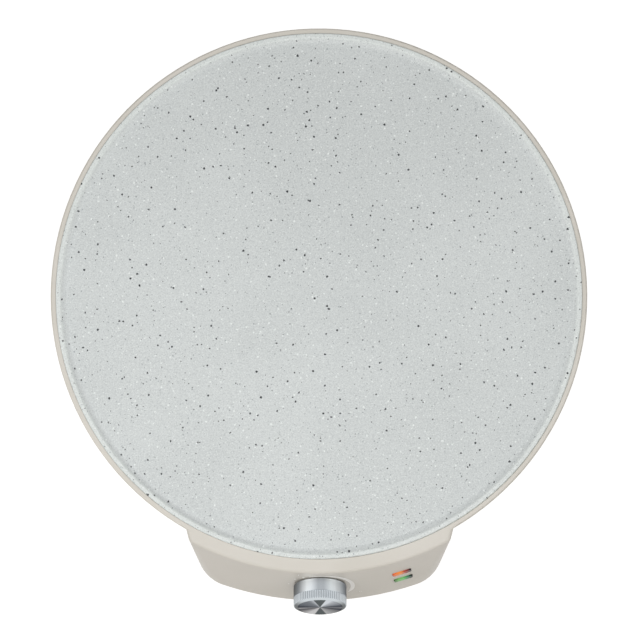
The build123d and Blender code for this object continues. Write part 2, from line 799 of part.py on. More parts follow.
strap_inner = bulb_diameter + 2 * bulb_gap
with BuildPart() as bulb_straps:
    for share in (0.2, 0.8):
        with BuildSketch(bulb_plane.offset(bulb_length * share - strap_width / 2)):
            Circle(strap_inner / 2 + strap_thickness)
            Circle(strap_inner / 2, mode=Mode.SUBTRACT)
            with Locations((0, strap_inner)):
                Rectangle(2 * strap_inner, 2 * strap_inner, mode=Mode.SUBTRACT)
            for side in (-1, 1):
                with Locations((side * (strap_inner + strap_thickness) / 2, strap_inner / 4)):
                    Rectangle(strap_thickness, strap_inner / 2)
        extrude(amount=strap_width)
bulb_straps.part.label = "bulb_straps"
export_step(bulb_straps.part, "parts/bulb_straps.step")


# ---------------------------------------------------------------------------------------------
# Knob: a turned metal shell on a moulded core, with a spring clip on the spindle's flat
# ---------------------------------------------------------------------------------------------
spindle_end_gap = 0.4
spindle_tail = control_front - spindle_bore_depth + spindle_end_gap
spindle_flat = 2.1             # flat to axis
flat_start = neck_reach + 1.4
core_bore_gap = 0.05
core_hub_diameter = 13.0
core_web_thickness = 2.6
core_web_gap = 0.1
core_start = neck_reach + 1.0
shell_face_thickness = 2.0
core_front = knob_front - shell_face_thickness - core_web_gap
spindle_end = core_front - 1.0
shell_inner_radius = knob_radius - knob_shell
core_bore_run = 0.3            # core's bore runs on past the spindle's end
core_rib_count = 6
core_rib_thickness = 1.4
core_rib_start = 3.2           # ribs start this far out, inside the hub's wall
core_rib_length = shell_inner_radius - core_web_gap - core_rib_start
clip_width = 2.0
clip_thickness = 0.5
clip_gap = 0.1
clip_end_gap = 0.2

with BuildPart() as thermostat_spindle:
    with BuildSketch(knob_plane.offset(spindle_tail)):
        Circle(spindle_diameter / 2)
    extrude(amount=spindle_end - spindle_tail)
    with BuildSketch(knob_plane.offset(flat_start)):
        with Locations((0, spindle_flat + spindle_diameter / 2)):
            Rectangle(spindle_diameter, spindle_diameter)
    extrude(amount=spindle_end - flat_start, mode=Mode.SUBTRACT)
thermostat_spindle.part.label = "thermostat_spindle"
export_step(thermostat_spindle.part, "parts/thermostat_spindle.step")

with BuildPart() as knob_core:
    with BuildSketch(knob_plane.offset(core_start)):
        Circle(core_hub_diameter / 2)
    extrude(amount=core_front - core_start)
    with BuildSketch(knob_plane.offset(core_front - core_web_thickness)):
        Circle(shell_inner_radius - core_web_gap)
    extrude(amount=core_web_thickness)
    with BuildSketch(knob_plane.offset(core_start)):
        with PolarLocations(core_rib_start + core_rib_length / 2, core_rib_count, 180 / core_rib_count):
            Rectangle(core_rib_length, core_rib_thickness)
    extrude(amount=core_front - core_start)
    with BuildSketch(knob_plane.offset(core_start)):
        Circle(spindle_diameter / 2 + core_bore_gap)
    extrude(amount=spindle_end - core_start + core_bore_run, mode=Mode.SUBTRACT)
knob_core.part.label = "knob_core"
export_step(knob_core.part, "parts/knob_core.step")

with BuildPart() as knob_clip:
    with BuildSketch(knob_plane.offset(flat_start + clip_end_gap)):
        with Locations((0, spindle_flat + clip_gap + clip_thickness / 2)):
            Rectangle(clip_width, clip_thickness)
    extrude(amount=spindle_end - flat_start - 2 * clip_end_gap)
knob_clip.part.label = "knob_clip"
export_step(knob_clip.part, "parts/knob_clip.step")

with BuildPart() as knob_shell_part:
    with BuildSketch(knob_plane.offset(knob_gap)):
        Circle(knob_radius)
    extrude(amount=knob_length)
    knob_axis = Axis(knob_plane.origin, knob_plane.z_dir)
    knob_face = knob_shell_part.faces().sort_by(knob_axis)[-1]
    chamfer(knob_face.edges(), knob_chamfer_width, knob_chamfer, reference=knob_face)
    with BuildSketch(knob_plane.offset(knob_gap)):
        Circle(shell_inner_radius)
    extrude(amount=knob_length - shell_face_thickness, mode=Mode.SUBTRACT)
    # Straight knurl round the front band
    with BuildSketch(knob_plane.offset(knob_front - knurl_length)):
        with PolarLocations(knob_radius, knurl_count, 180 / knurl_count):
            Rectangle(2 * knurl_depth, 2 * knurl_depth, rotation=45)
    extrude(amount=knurl_length, mode=Mode.SUBTRACT)
knob_shell_part.part.label = "knob_cap"
export_step(knob_shell_part.part, "parts/knob_cap.step")


# ---------------------------------------------------------------------------------------------
# Indicator lamps: two lenses in the panel and two neon lamps in a holder behind them
# ---------------------------------------------------------------------------------------------
lens_proud = 0.5
lens_flange_gap = 0.7          # the panel is hollow behind, so the flange's corners meet it first
lens_root = panel_thickness + lens_flange_gap
lens_flange = 1.2
lens_flange_thickness = 1.0
holder_gap = 0.2               # lens flange to holder
holder_front = -(lens_root + lens_flange_thickness + holder_gap)
holder_depth = 7.0
holder_width = 20.0
holder_height = 20.0
holder_ear_width = 38.0
holder_ear_height = 8.0
holder_ear_thickness = 2.0
lamp_head_height = 1.4
lamp_diameter = 5.0
lamp_gap = 0.3
lamp_depth = 5.6
lamp_round = 1.6
lamp_set_back = 0.2            # lamp behind the holder's face
lens_round = 0.4
holder_corner = 1.5
holder_ear_corner = 3.0

lamp_axis = Axis(lamp_plane.origin, lamp_plane.z_dir)


def lens(place):
    """Rectangular lens that stands just proud of the panel, with a flange behind it."""
    with BuildPart() as piece:
        with BuildSketch(lamp_plane.offset(-lens_root)):
            with Locations(place):
                RectangleRounded(window_width, window_height, window_round - window_gap)
        extrude(amount=lens_root + lens_proud)
        fillet(piece.faces().sort_by(lamp_axis)[-1].edges(), lens_round)
        with BuildSketch(lamp_plane.offset(-lens_root - lens_flange_thickness)):
            with Locations(place):
                RectangleRounded(
                    window_width + 2 * lens_flange, window_height + 2 * lens_flange, window_round
                )
        extrude(amount=lens_flange_thickness)
    return piece.part


with BuildPart() as orange_lens:
    add(lens(window_places[0]))
orange_lens.part.label = "orange_lens"
export_step(orange_lens.part, "parts/orange_lens.step")

with BuildPart() as green_lens:
    add(lens(window_places[1]))
green_lens.part.label = "green_lens"
export_step(green_lens.part, "parts/green_lens.step")

with BuildPart() as neon_lamps:
    with BuildSketch(lamp_plane.offset(holder_front - lamp_set_back)):
        with Locations(*window_places):
            Circle(lamp_diameter / 2)
    extrude(amount=-lamp_depth)
    fillet(neon_lamps.edges().group_by(lamp_axis)[-1], lamp_round)
neon_lamps.part.label = "neon_lamps"
export_step(neon_lamps.part, "parts/neon_lamps.step")

with BuildPart() as lamp_holder:
    with BuildSketch(lamp_plane.offset(holder_front)):
        RectangleRounded(holder_width, holder_height, holder_corner)
    extrude(amount=-holder_depth)
    with BuildSketch(lamp_plane.offset(-lamp_boss_depth)):
        RectangleRounded(holder_ear_width, holder_ear_height, holder_ear_corner)
    extrude(amount=-holder_ear_thickness)
    with BuildSketch(lamp_plane.offset(-lamp_boss_depth)):
        with Locations(*lamp_screw_places):
            Circle(lamp_screw / 2 + screw_clearance)
    extrude(amount=-holder_ear_thickness, mode=Mode.SUBTRACT)
    with BuildSketch(lamp_plane.offset(holder_front)):
        with Locations(*window_places):
            Circle(lamp_diameter / 2 + lamp_gap)
    extrude(amount=-lamp_set_back - lamp_depth, mode=Mode.SUBTRACT)
lamp_holder.part.label = "lamp_holder"
export_step(lamp_holder.part, "parts/lamp_holder.step")

with BuildPart() as lamp_screws:
    ear_back = lamp_plane.offset(-lamp_boss_depth - holder_ear_thickness)
    lamp_shank = holder_ear_thickness + lamp_screw_rise
    add(pan_screws(ear_back, lamp_screw_places, lamp_screw, lamp_shank, lamp_head_height))
lamp_screws.part.label = "lamp_screws"
export_step(lamp_screws.part, "parts/lamp_screws.step")


# ---------------------------------------------------------------------------------------------
# Wiring under the deck: terminal block, thermal fuse and leads
# ---------------------------------------------------------------------------------------------
block_width = 32.0
block_depth = 16.0
block_height = 12.0
block_inset = 37.0             # its middle, in from the bowl's base
block_y = bowl_base_radius - block_inset
block_pitch = 10.0
block_bottom = tray_top
wire_height = block_bottom + block_height / 2
block_hole_depth = 4.0
block_screw_length = 3.4
block_slot_width = 0.6
block_slot_depth = 1.0
fuse_diameter = 4.0
fuse_length = 14.0
fuse_x = 32.0
fuse_y = -76.0
fuse_height = deck_underside - 4.2
fuse_clip_width = 6.0
fuse_clip_wall = 1.3
fuse_clip_gap = 0.1
fuse_chamfer = 0.5

with BuildPart() as terminal_block:
    with BuildSketch(level(block_bottom)):
        with Locations((0, block_y)):
            Rectangle(block_width, block_depth)
    extrude(amount=block_height)
    with BuildSketch(level(block_bottom + block_height - block_hole_depth)):
        with Locations((-block_pitch, block_y), (0, block_y), (block_pitch, block_y)):
            Circle(small_screw / 2 + screw_clearance)
    extrude(amount=block_hole_depth, mode=Mode.SUBTRACT)
terminal_block.part.label = "terminal_block"
export_step(terminal_block.part, "parts/terminal_block.step")

block_screw_top = block_bottom + block_height - block_hole_depth + block_screw_length
slot_height = block_screw_top - block_slot_depth
with BuildPart() as terminal_screws:
    with BuildSketch(level(block_bottom + block_height - block_hole_depth)):
        with Locations((-block_pitch, block_y), (0, block_y), (block_pitch, block_y)):
            Circle(small_screw / 2)
    extrude(amount=block_screw_length)
    with BuildSketch(level(slot_height)):
        with Locations((-block_pitch, block_y), (0, block_y), (block_pitch, block_y)):
            Rectangle(small_screw, block_slot_width)
    extrude(amount=block_slot_depth, mode=Mode.SUBTRACT)
terminal_screws.part.label = "terminal_screws"
export_step(terminal_screws.part, "parts/terminal_screws.step")

fuse_plane = Plane(
    origin=(fuse_x - fuse_length / 2, plate_y + fuse_y, fuse_height), x_dir=(0, 1, 0), z_dir=(1, 0, 0)
)
with BuildPart() as thermal_fuse:
    with BuildSketch(fuse_plane):
        Circle(fuse_diameter / 2)
    extrude(amount=fuse_length)
    chamfer(thermal_fuse.edges().filter_by(GeomType.CIRCLE), fuse_chamfer)
thermal_fuse.part.label = "thermal_fuse"
export_step(thermal_fuse.part, "parts/thermal_fuse.step")

with BuildPart() as fuse_clip:
    with BuildSketch(fuse_plane.offset((fuse_length - fuse_clip_width) / 2)):
        Circle(fuse_diameter / 2 + fuse_clip_wall)
        with Locations((0, (deck_underside - fuse_height) / 2)):
            Rectangle(fuse_diameter + 2 * fuse_clip_wall, deck_underside - fuse_height)
        Circle(fuse_diameter / 2 + fuse_clip_gap, mode=Mode.SUBTRACT)
    extrude(amount=fuse_clip_width)
fuse_clip.part.label = "fuse_clip"
export_step(fuse_clip.part, "parts/fuse_clip.step")

block_front_y = block_y - block_depth / 2
low_run = tray_top + 3.6
tab_back = control_back - control_tab_length
first_leg = about_axis(leg_points[0][0], leg_points[0][1] - plate_y, tab_end_height)
last_leg = about_axis(leg_points[1][0], leg_points[1][1] - plate_y, tab_end_height)

with BuildPart() as live_lead:
    live_points = [
        about_axis(-block_pitch, block_front_y, wire_height),
        about_axis(-block_pitch, block_front_y - 18.0, wire_height),
        about_axis(-42.0, 55.0, wire_height),
        about_axis(-42.0, -85.0, wire_height),
        point_on(knob_plane, -control_tab_x, control_tab_y, tab_back - 14.0),
        point_on(knob_plane, -control_tab_x, control_tab_y, tab_back),
    ]
    add(run(live_points, lead_diameter, lead_bend))
live_lead.part.label = "live_lead"
export_step(live_lead.part, "parts/live_lead.step")

with BuildPart() as neutral_lead:
    neutral_points = [
        about_axis(block_pitch, block_front_y, wire_height),
        about_axis(block_pitch, block_front_y - 18.0, wire_height),
        about_axis(62.0, 48.0, wire_height),
        about_axis(62.0, -52.0, wire_height),
        Vector(first_leg.X, first_leg.Y + 14.0, low_run),
        Vector(first_leg.X, first_leg.Y, low_run),
        first_leg,
    ]
    add(run(neutral_points, lead_diameter, 4.5))
neutral_lead.part.label = "neutral_lead"
export_step(neutral_lead.part, "parts/neutral_lead.step")

with BuildPart() as switched_lead:
    switched_points = [
        point_on(knob_plane, control_tab_x, control_tab_y, tab_back),
        point_on(knob_plane, control_tab_x, control_tab_y, tab_back - 12.0),
        about_axis(54.0, -112.0, 18.0),
        about_axis(58.0, fuse_y, fuse_height),
        about_axis(fuse_x + fuse_length / 2, fuse_y, fuse_height),
    ]
    add(run(switched_points, lead_diameter, lead_bend))
switched_lead.part.label = "switched_lead"
export_step(switched_lead.part, "parts/switched_lead.step")

with BuildPart() as fuse_lead:
    fuse_points = [
        about_axis(fuse_x - fuse_length / 2, fuse_y, fuse_height),
        about_axis(last_leg.X, fuse_y, fuse_height),
        about_axis(last_leg.X, fuse_y, low_run),
        Vector(last_leg.X, last_leg.Y, low_run),
        last_leg,
    ]
    add(run(fuse_points, lead_diameter, 4.5))
fuse_lead.part.label = "fuse_lead"
export_step(fuse_lead.part, "parts/fuse_lead.step")

with BuildPart() as earth_lead:
    tag_middle = deck_underside - earth_tag_thickness / 2
    earth_points = [
        about_axis(0, block_front_y, wire_height),
        about_axis(0, block_front_y - 16.0, wire_height),
        about_axis(0, earth_y + earth_tag_length + 14.0, tag_middle - 1.0),
        about_axis(0, earth_y + earth_tag_length, tag_middle - 1.0),
    ]
    add(run(earth_points, lead_diameter, lead_bend))
earth_lead.part.label = "earth_lead"
export_step(earth_lead.part, "parts/earth_lead.step")

with BuildPart() as lamp_leads:
    for side, depth in ((1, -8.0), (-1, -15.0)):
        lamp_points = [
            point_on(lamp_plane, 0, side * window_spacing / 2, holder_front - holder_depth),
            point_on(lamp_plane, 0, side * window_spacing / 2, holder_front - holder_depth - 9.0),
            point_on(knob_plane, control_width / 2 + 9.0, side * 3.0, control_front + depth),
            point_on(knob_plane, control_width / 2, side * 3.0, control_front + depth),
        ]
        add(run(lamp_points, 1.8, 3.5))
lamp_leads.part.label = "lamp_leads"
export_step(lamp_leads.part, "parts/lamp_leads.step")
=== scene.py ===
import json
import math
import bmesh
import bpy
from mathutils import Matrix, Vector


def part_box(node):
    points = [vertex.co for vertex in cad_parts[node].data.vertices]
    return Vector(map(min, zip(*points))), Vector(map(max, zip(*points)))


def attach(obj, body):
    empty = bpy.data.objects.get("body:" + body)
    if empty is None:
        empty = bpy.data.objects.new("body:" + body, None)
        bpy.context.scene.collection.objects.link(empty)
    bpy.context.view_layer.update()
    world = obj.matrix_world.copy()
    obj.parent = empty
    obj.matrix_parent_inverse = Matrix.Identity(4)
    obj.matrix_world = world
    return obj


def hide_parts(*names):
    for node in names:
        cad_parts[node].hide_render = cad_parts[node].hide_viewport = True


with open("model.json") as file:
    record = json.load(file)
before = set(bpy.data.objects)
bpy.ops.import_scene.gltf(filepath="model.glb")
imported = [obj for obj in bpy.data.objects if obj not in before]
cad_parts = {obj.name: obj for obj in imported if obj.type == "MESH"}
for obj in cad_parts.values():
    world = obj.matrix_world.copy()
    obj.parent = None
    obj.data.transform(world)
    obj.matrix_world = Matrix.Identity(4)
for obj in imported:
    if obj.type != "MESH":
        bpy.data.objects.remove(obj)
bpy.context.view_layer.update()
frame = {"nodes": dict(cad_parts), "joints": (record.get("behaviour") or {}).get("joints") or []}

# Electric crepe maker: a speckled griddle plate in a round moulded housing, with a sloped console
# in front that carries a turned metal knob and two lit indicator windows. Metres, +Z up.


# ---------------------------------------------------------------------------------------------
# Studio: a white floor, soft lamps at the left, at the right and overhead, and a room that is
# white overhead, warmer and dimmer down its walls and brighter in front. The camera looks from
# almost straight above, a little from the front.
# ---------------------------------------------------------------------------------------------
class Value:
    """A number on a surface. Python's arithmetic on it adds Math nodes."""

    def __init__(self, nodes, socket):
        self.nodes = nodes
        self.socket = socket

    def __add__(self, other):
        return self.nodes.calc("ADD", self, other)

    def __radd__(self, other):
        return self.nodes.calc("ADD", other, self)

    def __sub__(self, other):
        return self.nodes.calc("SUBTRACT", self, other)

    def __rsub__(self, other):
        return self.nodes.calc("SUBTRACT", other, self)

    def __mul__(self, other):
        return self.nodes.calc("MULTIPLY", self, other)

    def __rmul__(self, other):
        return self.nodes.calc("MULTIPLY", other, self)

    def __truediv__(self, other):
        return self.nodes.calc("DIVIDE", self, other)

    def __lt__(self, other):
        return self.nodes.calc("LESS_THAN", self, other)

    def __gt__(self, other):
        return self.nodes.calc("GREATER_THAN", self, other)


class Nodes:
    """The node tree of one material or of the room."""

    def __init__(self, owner):
        owner.use_nodes = True
        self.owner = owner
        self.tree = owner.node_tree
        self.tree.nodes.clear()

    def node(self, kind, settings=None, sockets=None):
        """Any node: its type, its settings, then the value or link of each socket."""
        made = self.tree.nodes.new(kind)
        for name, setting in (settings or {}).items():
            if name == "stops":
                stops = made.color_ramp.elements
                while len(stops) < len(setting):
                    stops.new(1.0)
                for stop, (place, shade) in zip(stops, setting):
                    stop.position = place
                    stop.color = (*shade, 1.0)
            else:
                setattr(made, name, setting)
        for name, value in (sockets or {}).items():
            socket = made.inputs[name]
            if isinstance(value, Value):
                value = value.socket
            if isinstance(value, bpy.types.NodeSocket):
                self.tree.links.new(value, socket)
            elif socket.type == "RGBA" and len(value) == 3:
                socket.default_value = (*value, 1.0)
            else:
                socket.default_value = value
        return made

    def calc(self, operation, *terms):
        math_node = self.node("ShaderNodeMath", {"operation": operation}, dict(enumerate(terms)))
        return Value(self, math_node.outputs[0])

    def vector(self, operation, *terms):
        vector_node = self.node(
            "ShaderNodeVectorMath", {"operation": operation}, dict(enumerate(terms))
        )
        if operation == "DOT_PRODUCT":
            return Value(self, vector_node.outputs["Value"])
        return vector_node.outputs["Vector"]

    def either(self, first, *others):
        """The strongest of several masks."""
        for other in others:
            first = self.calc("MAXIMUM", first, other)
        return first

    def backdrop(self):
        """1 where this is seen, directly, in gloss or through glass, and 0 where it gives light."""
        ray = self.node("ShaderNodeLightPath").outputs
        return self.either(ray["Is Camera Ray"], ray["Is Glossy Ray"], ray["Is Transmission Ray"])

    def place(self):
        """The surface point in the object's own coordinates."""
        return self.node("ShaderNodeTexCoord").outputs["Object"]

    def parts(self, vector):
        split = self.node("ShaderNodeSeparateXYZ", None, {0: vector})
        return [Value(self, socket) for socket in split.outputs]

    def fade(self, value, low, high):
        """0 at low and below, 1 at high and above, smooth between."""
        faded = self.node(
            "ShaderNodeMapRange",
            {"interpolation_type": "SMOOTHSTEP"},
            {"Value": value, "From Min": low, "From Max": high},
        )
        return Value(self, faded.outputs[0])

    def noise(self, vector, grain, detail=2.0):
        """Even noise about 0.5 whose blotches are about as large as the grain, in metres."""
        made = self.node(
            "ShaderNodeTexNoise", None, {"Vector": vector, "Scale": 1 / grain, "Detail": detail}
        )
        return Value(self, made.outputs[0])

    def clouds(self, vector, size):
        """Soft clouds about as large as the size, from 0 to 1."""
        return self.fade(self.noise(vector, size), 0.3, 0.7)

    def blend(self, share, first, second):
        mixed = self.node(
            "ShaderNodeMix", {"data_type": "RGBA"}, {0: share, 6: first, 7: second}
        )
        return mixed.outputs[2]

    def bump(self, height, depth):
        """Relief from a height between 0 and 1, as deep as the depth in metres."""
        return self.node("ShaderNodeBump", None, {"Height": height, "Distance": depth}).outputs[0]

    def surface(self, sockets):
        shader = self.node("ShaderNodeBsdfPrincipled", None, sockets)
        self.node("ShaderNodeOutputMaterial", None, {"Surface": shader.outputs[0]})
        return self.owner


def finish(name):
    return Nodes(bpy.data.materials.new(name))


def link(name, data):
    made = bpy.data.objects.new(name, data)
    bpy.context.scene.collection.objects.link(made)
    return made


def looking(elevation):
    """The way a camera in front of the object looks when it is raised by this angle."""
    return Vector((0, math.cos(elevation), -math.sin(elevation)))


mm = 0.001
plate_low, plate_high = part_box("hot_plate")
plate_axis = Vector((0, (plate_low.y + plate_high.y) / 2, 0))
crest_height = plate_high.z

camera_distance = 1500 * mm
camera_elevation = math.radians(87)
camera_dip = math.radians(0.556)      # it looks this much below the middle of the plate
camera_turn = math.radians(-0.2)
sensor_width = 36.0
focal_length = 139.32
farthest_seen = 50.0

turn = Matrix.Rotation(camera_turn, 3, "Z")
plate_middle = plate_axis + Vector((0, 0, crest_height))
camera_place = plate_middle - turn @ looking(camera_elevation) * camera_distance
camera_right = turn @ Vector((1, 0, 0))
camera_back = -(turn @ looking(camera_elevation + camera_dip))
camera = link("camera", bpy.data.cameras.new("camera"))
camera.data.sensor_width = sensor_width
camera.data.lens = focal_length
camera.data.clip_end = farthest_seen
camera.matrix_world = Matrix.Translation(camera_place) @ Matrix(
    (camera_right, camera_back.cross(camera_right), camera_back)
).transposed().to_4x4()
bpy.context.scene.camera = camera
bpy.context.scene.view_settings.view_transform = "Standard"

studio_white = (1.0, 1.0, 1.0)
wall_tint = (1.0, 0.90, 0.78)
wall_level = 0.22
roof_gain = 0.30
front_gain = 0.32
front_fades = (-0.9, -0.2)            # from straight in front, at -1, to the walls at the sides
tint_fades = (0.1, 0.8)               # from the horizon, at 0, to straight overhead

world = bpy.data.worlds.new("room")
bpy.context.scene.world = world
room = Nodes(world)
shown = room.backdrop()
_, backward, upward = room.parts(room.node("ShaderNodeTexCoord").outputs["Generated"])
in_front = 1.0 - room.fade(backward, *front_fades)
lit = wall_level + roof_gain * room.calc("MAXIMUM", upward, 0.0) + front_gain * in_front
room_tint = room.blend(
    room.either(shown, room.fade(upward, *tint_fades)), wall_tint, studio_white
)
sky = room.node(
    "ShaderNodeBackground", None, {"Color": room_tint, "Strength": lit + (1.0 - lit) * shown}
)
room.node("ShaderNodeOutputWorld", None, {"Surface": sky.outputs[0]})

floor_paint = (0.26, 0.25, 0.235)
floor_white = 0.92                    # how bright the floor looks where it is seen
floor_reach = 20.0

floor_finish = finish("studio_floor")
painted = floor_finish.node("ShaderNodeBsdfDiffuse", None, {"Color": floor_paint})
glowing = floor_finish.node(
    "ShaderNodeEmission",
    None,
    {"Color": studio_white, "Strength": floor_finish.backdrop() * floor_white},
)
both = floor_finish.node(
    "ShaderNodeAddShader", None, {0: painted.outputs[0], 1: glowing.outputs[0]}
)
floor_finish.node("ShaderNodeOutputMaterial", None, {"Surface": both.outputs[0]})
sheet = bmesh.new()
bmesh.ops.create_grid(sheet, x_segments=1, y_segments=1, size=floor_reach)
floor = link("studio_floor", bpy.data.meshes.new("studio_floor"))
sheet.to_mesh(floor.data)
sheet.free()
floor.data.materials.append(floor_finish.owner)

lamp_aim = Vector((0, 0, 30 * mm))


def lamp(name, place, size, power):
    """A soft rectangular lamp that shines at the object."""
    made = link(name, bpy.data.lights.new(name, "AREA"))
    made.data.shape = "RECTANGLE"
    made.data.size, made.data.size_y = size
    made.data.energy = power
    made.location = place
    made.rotation_mode = "QUATERNION"
    made.rotation_quaternion = (Vector(place) - lamp_aim).to_track_quat("Z", "Y")


lamp("lamp_left", (-0.90, -0.15, 0.85), (0.6, 0.9), power=3.9)
lamp("lamp_right", (1.00, 0.00, 0.85), (0.5, 0.8), power=2.7)
lamp("lamp_high", (-0.03, -0.22, 0.70), (0.6, 0.4), power=1.15)


# ---------------------------------------------------------------------------------------------
# Griddle plate: cast aluminium. The cooking face and lip carry a sprayed stone-look non-stick
# coat, pale blue-grey with black, grey and white chips; the ribbed underside is bare casting.
# ---------------------------------------------------------------------------------------------
def colour(red, green, blue):
    """A colour as painters give it, 0 to 255, made linear for the shader."""
    return tuple(
        c / 255 / 12.92 if c <= 10 else ((c / 255 + 0.055) / 1.055) ** 2.4
        for c in (red, green, blue)
    )


coat_pale = colour(209, 214, 214)
coat_deep = colour(203, 208, 208)
coat_crest_highlight = colour(222, 228, 226)
chip_black = colour(38, 42, 46)
chip_grey = colour(128, 136, 140)
chip_white = colour(238, 243, 242)
bare_casting = colour(186, 188, 190)
coat_clouds = 90 * mm
coat_end = crest_height - 6 * mm      # the coat stops here, down the plate's edge
coat_end_blur = 1 * mm
crest_inner = 156.0 * mm              # the lip's crest, painted paler as a highlight where it catches the light
crest_outer = 157.4 * mm
crest_highlight_share = 0.8
grit_grain = 0.75 * mm
grit_light = 0.65
grit_dark = 0.38
spray_grain = 1.6 * mm
spray_depth = 0.03 * mm
casting_grain = 0.8 * mm
casting_depth = 0.12 * mm
chip_edge = 0.05 * mm
tear_grain = 0.8 * mm                 # the chips' outlines are torn on this scale, by this much
tear_reach = 1.3 * mm

coat = finish("griddle_coat")
place = coat.place()
tear = coat.node("ShaderNodeTexNoise", None, {"Vector": place, "Scale": 1 / tear_grain})
tear = coat.vector("SUBTRACT", tear.outputs["Color"], (0.5, 0.5, 0.5))
tear = coat.vector("MULTIPLY", tear, (tear_reach, tear_reach, tear_reach))
torn = coat.vector("ADD", place, tear)


def chips(cell, share, smallest, largest, shift):
    """Mask of chips scattered over the plan: some cells hold one, each of its own size."""
    moved = coat.vector("ADD", torn, (shift, shift / 2, 0.0))
    cells = coat.node(
        "ShaderNodeTexVoronoi", {"voronoi_dimensions": "2D"}, {"Vector": moved, "Scale": 1 / cell}
    )
    # A cell's random colour, stirred in two ways, says whether it holds a chip and how large
    red, green, blue = coat.parts(cells.outputs["Color"])
    chance = coat.calc("FRACT", red * 37.0 + blue * 11.0)
    size = coat.calc("FRACT", green * 53.0 + red * 17.0)
    reach = Value(coat, cells.outputs["Distance"]) * cell
    radius = smallest + (largest - smallest) * size * size * size
    inside = 1.0 - coat.fade(reach - radius, -chip_edge, chip_edge)
    return inside * (chance < share)


white_chips = chips(3.3 * mm, 0.50, 0.16 * mm, 0.60 * mm, shift=0.31)
grey_chips = chips(3.7 * mm, 0.42, 0.14 * mm, 0.42 * mm, shift=2.63)
black_chips = coat.either(
    chips(4.3 * mm, 0.22, 0.18 * mm, 0.64 * mm, shift=1.17),
    chips(6.1 * mm, 0.44, 0.18 * mm, 0.70 * mm, shift=1.91),
)

across, deep, height = coat.parts(place)
deep = deep - plate_axis.y
from_axis = coat.calc("SQRT", across * across + deep * deep)
crest_highlight_mask = coat.fade(from_axis, crest_inner, crest_outer)
grit = coat.noise(place, grit_grain, detail=1.0)
tint = coat.blend(coat.clouds(place, coat_clouds), coat_pale, coat_deep)
# The lip's crest is painted paler as a highlight, then the grit and the chips are laid over the
# coat's clouds
for share, shade in (
    (crest_highlight_share * crest_highlight_mask, coat_crest_highlight),
    (grit_light * coat.fade(grit, 0.5, 0.85), chip_white),
    (grit_dark * coat.fade(0.5 - grit, 0.0, 0.35), chip_grey),
    (0.85 * white_chips, chip_white),
    (0.75 * grey_chips, chip_grey),
    (black_chips, chip_black),
):
    tint = coat.blend(share, tint, shade)

bare = 1.0 - coat.fade(height, coat_end - coat_end_blur, coat_end)
spray = coat.noise(place, spray_grain)
coat_relief = coat.bump(spray + 0.6 * black_chips + 0.4 * white_chips, spray_depth)
cast_relief = coat.bump(coat.noise(place, casting_grain, detail=4.0), casting_depth)
relief = coat.node(
    "ShaderNodeMix", {"data_type": "VECTOR"}, {0: bare, 4: coat_relief, 5: cast_relief}
)
coat.surface(
    {
        "Base Color": coat.blend(bare, tint, bare_casting),
        "Metallic": 0.9 * bare,
        "Roughness": 0.40 + 0.08 * spray + 0.12 * bare,
        "Normal": relief.outputs[1],
        "Specular IOR Level": 0.55,
    }
)


def dress(made, *names):
    """The CAD pieces of these names get this finish."""
    for name in names:
        slots = frame["nodes"][name].data.materials
        for index in range(len(slots)):
            slots[index] = made


dress(coat.owner, "hot_plate")


# ---------------------------------------------------------------------------------------------
# Housing: rim, bowl and console are one injection moulding in warm grey plastic. It is satin,
# with a fine spark-eroded grain and faint flow clouds a shade apart.
# ---------------------------------------------------------------------------------------------
plastic_gloss = 0.3


def moulded(name, light, dark, rough, grain=0.35 * mm, depth=0.012 * mm, cloud=45 * mm):
    """Moulded plastic or rubber: clouds of two shades, and a fine grain in the skin."""
    made = finish(name)
    place = made.place()
    skin = made.noise(place, grain)
    return made.surface(
        {
            "Base Color": made.blend(made.clouds(place, cloud), light, dark),
            "Roughness": rough + 0.10 * (skin - 0.5),
            "Specular IOR Level": plastic_gloss,
            "Normal": made.bump(skin, depth),
        }
    )


housing_light = colour(216, 212, 204)
housing_dark = colour(211, 207, 198)
dress(moulded("housing_plastic", housing_light, housing_dark, rough=0.36), "housing")


# ---------------------------------------------------------------------------------------------
# Dial print: white ink on the sloped panel round the knob, a band that widens from low to high,
# three dots before it and two numbers. It follows the panel's curve.
# ---------------------------------------------------------------------------------------------
joint = frame["joints"][0]
knob_seat = Vector(joint["pos_m"])
knob_out = -Vector(joint["axis"]).normalized()
panel_tilt = math.asin(knob_out.z)
seat_radius = plate_axis.y - knob_seat.y
ink_lift = 0.04 * mm
ink_grain = 0.25 * mm
ink_depth = 0.004 * mm

ink = finish("dial_ink")
ink_skin = ink.noise(ink.place(), ink_grain, detail=3.0)
ink.surface(
    {
        "Base Color": ink.blend(ink_skin, colour(252, 251, 247), colour(247, 245, 240)),
        "Roughness": 0.42 + 0.12 * ink_skin,
        "Normal": ink.bump(ink_skin, ink_depth),
    }
)


def on_panel(across, up):
    """Point in the ink on the panel, across to the right and up the slope from the knob's axis."""
    bearing = across / seat_radius
    radius = seat_radius - up * math.sin(panel_tilt)
    height = knob_seat.z + up * math.cos(panel_tilt)
    outward = Vector(
        (
            math.sin(bearing) * math.cos(panel_tilt),
            -math.cos(bearing) * math.cos(panel_tilt),
            math.sin(panel_tilt),
        )
    )
    flat = Vector((radius * math.sin(bearing), -radius * math.cos(bearing), height))
    return plate_axis + flat + outward * ink_lift


def round_knob(degrees, radius):
    """How far across and up a mark is, from its angle clockwise from the top and its radius."""
    angle = math.radians(degrees)
    return radius * math.sin(angle), radius * math.cos(angle)


def lay(verts, across, up):
    """The points of a flat mark are moved onto the panel."""
    for vert in verts:
        vert.co = on_panel(across + vert.co.x, up + vert.co.y)


